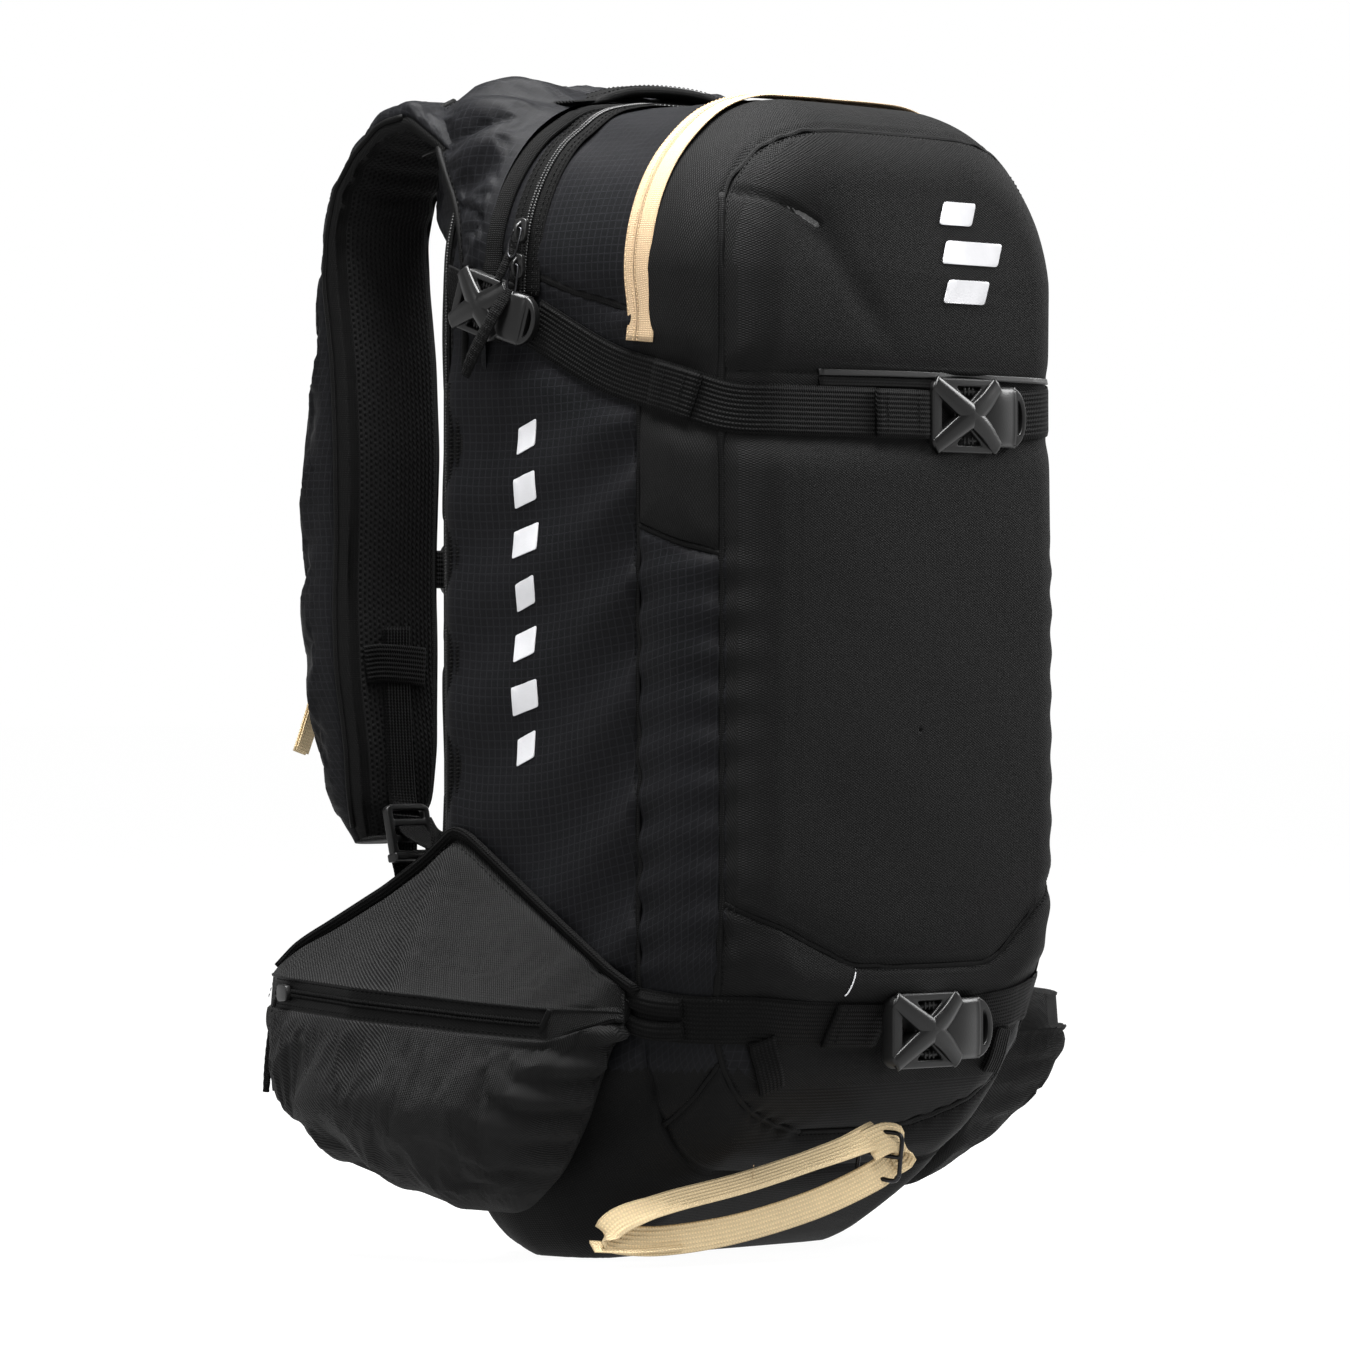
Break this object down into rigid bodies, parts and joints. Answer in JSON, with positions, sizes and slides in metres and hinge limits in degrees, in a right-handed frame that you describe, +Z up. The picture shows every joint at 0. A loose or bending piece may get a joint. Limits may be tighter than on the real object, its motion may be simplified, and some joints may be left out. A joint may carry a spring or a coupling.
{
  "type": "avalanche airbag backpack",
  "caption": "Ski touring backpack with a back door, compression straps, hip belt and a removable airbag module fired from the left shoulder strap.",
  "frame": {"origin": "on the floor, on the flat base of the bag, in the middle of its width and 20 mm in front of its back plane", "axes": "+Z up, +X to the right seen from the front, -Y towards the front of the bag, +Y towards the wearer"},
  "size_m": [0.398, 0.3419, 0.6026],
  "materials": {
    "ripstop": "fine ripstop nylon",
    "ballistic": "coarse ballistic weave",
    "foam": "padded mesh fabric",
    "webbing": "ribbed webbing",
    "tan": "tan webbing and tape",
    "plastic": "moulded acetal",
    "steel": "satin",
    "alloy": "satin",
    "board": "polyethylene sheet",
    "airbag_cloth": "folded airbag cloth"
  },
  "bodies": {
    "pack": {"main_shell": "ripstop", "front_pocket_lower": "ballistic", "main_zip": "webbing", "front_zip": "tan", "haul_loop": "webbing", "lumbar_pad": "foam", "upper_strap_left": "webbing", "upper_strap_right": "webbing", "lower_strap_left": "webbing", "lower_strap_right": "webbing", "upper_buckle_body": "plastic", "lower_buckle_body": "plastic", "left_side_buckle_body": "plastic", "right_side_buckle_body": "plastic", "left_hip_stabiliser": "ballistic", "right_hip_stabiliser": "ballistic"},
    "front_flap": {"front_pocket_top": "ballistic"},
    "back_door": {"back_panel": "foam", "framesheet": "board", "left_stay": "alloy", "right_stay": "alloy", "yoke": "ripstop", "left_shoulder_strap": "foam", "right_shoulder_strap": "foam", "strap_sleeve": "ripstop", "sleeve_pull": "tan", "left_strap_webbing": "webbing", "right_strap_webbing": "webbing", "airbag_folded": "airbag_cloth", "gas_cartridge": "steel", "inflator_body": "alloy", "trigger_cable": "steel"},
    "trigger_lever": {"trigger_lever": "alloy"},
    "trigger_handle": {"trigger_handle": "plastic"},
    "left_adjuster": {"left_strap_adjuster": "plastic"},
    "right_adjuster": {"right_strap_adjuster": "plastic"},
    "sternum": {"sternum_webbing_left": "webbing", "sternum_webbing_right": "webbing", "sternum_buckle_body": "plastic"},
    "sternum_tongue": {"sternum_buckle_tongue": "plastic"},
    "upper_tongue": {"upper_buckle_tongue": "plastic"},
    "lower_tongue": {"lower_buckle_tongue": "plastic"},
    "left_side_tongue": {"left_side_buckle_tongue": "plastic"},
    "right_side_tongue": {"right_side_buckle_tongue": "plastic"},
    "main_slider_upper": {"main_zip_slider_upper": "plastic"},
    "main_slider_lower": {"main_zip_slider_lower": "plastic"},
    "front_slider": {"front_zip_slider": "plastic"},
    "left_wing": {"left_wing": "ballistic", "left_belt_webbing": "webbing", "hip_buckle_male": "plastic"},
    "right_wing": {"right_wing": "ballistic", "right_belt_webbing": "webbing", "hip_buckle_female": "plastic"},
    "left_pocket_slider": {"left_pocket_slider": "plastic"},
    "right_pocket_slider": {"right_pocket_slider": "plastic"},
    "ski_loop": {"ski_loop": "tan", "ski_loop_glide": "steel"}
  },
  "joints": [
    {"name": "back_door_open", "type": "hinge", "parent": "pack", "child": "back_door", "pos_m": [0, 0.0204, 0.197], "axis": [-1, 0, 0], "range_deg": [0, 50]},
    {"name": "front_pocket_open", "type": "hinge", "parent": "pack", "child": "front_flap", "pos_m": [0, -0.17, 0.4522], "axis": [1, 0, 0], "range_deg": [0, 35]},
    {"name": "trigger_pull", "type": "slide", "parent": "back_door", "child": "trigger_handle", "axis": [0, 0, -1], "range_m": [0, 0.05]},
    {"name": "trigger_lever_turn", "type": "hinge", "parent": "back_door", "child": "trigger_lever", "pos_m": [0.0815, -0.015, 0.416], "axis": [1, 0, 0], "range_deg": [0, 35]},
    {"name": "left_adjuster_tilt", "type": "hinge", "parent": "back_door", "child": "left_adjuster", "pos_m": [-0.092, 0.089, 0.226], "axis": [1, 0, 0], "range_deg": [0, 30]},
    {"name": "right_adjuster_tilt", "type": "hinge", "parent": "back_door", "child": "right_adjuster", "pos_m": [0.092, 0.089, 0.226], "axis": [1, 0, 0], "range_deg": [0, 30]},
    {"name": "sternum_height", "type": "slide", "parent": "back_door", "child": "sternum", "axis": [0, 0, 1], "range_m": [-0.03, 0.03]},
    {"name": "sternum_release", "type": "slide", "parent": "sternum", "child": "sternum_tongue", "axis": [1, 0, 0], "range_m": [0, 0.018]},
    {"name": "upper_buckle_release", "type": "slide", "parent": "pack", "child": "upper_tongue", "axis": [1, 0, 0], "range_m": [0, 0.025]},
    {"name": "lower_buckle_release", "type": "slide", "parent": "pack", "child": "lower_tongue", "axis": [1, 0, 0], "range_m": [0, 0.025]},
    {"name": "left_side_release", "type": "slide", "parent": "pack", "child": "left_side_tongue", "axis": [0, -0.9511, -0.309], "range_m": [0, 0.02]},
    {"name": "right_side_release", "type": "slide", "parent": "pack", "child": "right_side_tongue", "axis": [0, -0.9511, -0.309], "range_m": [0, 0.02]},
    {"name": "main_zip_upper_run", "type": "hinge", "parent": "pack", "child": "main_slider_upper", "pos_m": [-0.045, -0.033, 0.5], "axis": [0, 1, 0], "range_deg": [0, 70]},
    {"name": "main_zip_lower_run", "type": "hinge", "parent": "pack", "child": "main_slider_lower", "pos_m": [-0.045, -0.033, 0.5], "axis": [0, 1, 0], "range_deg": [0, 70]},
    {"name": "front_zip_run", "type": "hinge", "parent": "pack", "child": "front_slider", "pos_m": [0.045, -0.1055, 0.5], "axis": [0, -1, 0], "range_deg": [0, 75]},
    {"name": "left_wing_swing", "type": "hinge", "parent": "pack", "child": "left_wing", "pos_m": [-0.14, 0.015, 0.1], "axis": [0, 0, 1], "range_deg": [-10, 20]},
    {"name": "right_wing_swing", "type": "hinge", "parent": "pack", "child": "right_wing", "pos_m": [0.14, 0.015, 0.1], "axis": [0, 0, -1], "range_deg": [-10, 20]},
    {"name": "left_pocket_zip_run", "type": "slide", "parent": "left_wing", "child": "left_pocket_slider", "axis": [-0.3714, -0.9285, 0], "range_m": [0, 0.07]},
    {"name": "right_pocket_zip_run", "type": "slide", "parent": "right_wing", "child": "right_pocket_slider", "axis": [0.3714, -0.9285, 0], "range_m": [0, 0.07]},
    {"name": "ski_loop_swing", "type": "hinge", "parent": "pack", "child": "ski_loop", "pos_m": [0.004, -0.15, 0.05], "axis": [0, 0, 1], "range_deg": [-8, 25]}
  ],
  "couplings": [
    {"joint": "main_zip_lower_run", "follows": "main_zip_upper_run", "ratio": 1},
    {"joint": "trigger_lever_turn", "follows": "trigger_pull", "rad_per_m": 12.217}
  ]
}
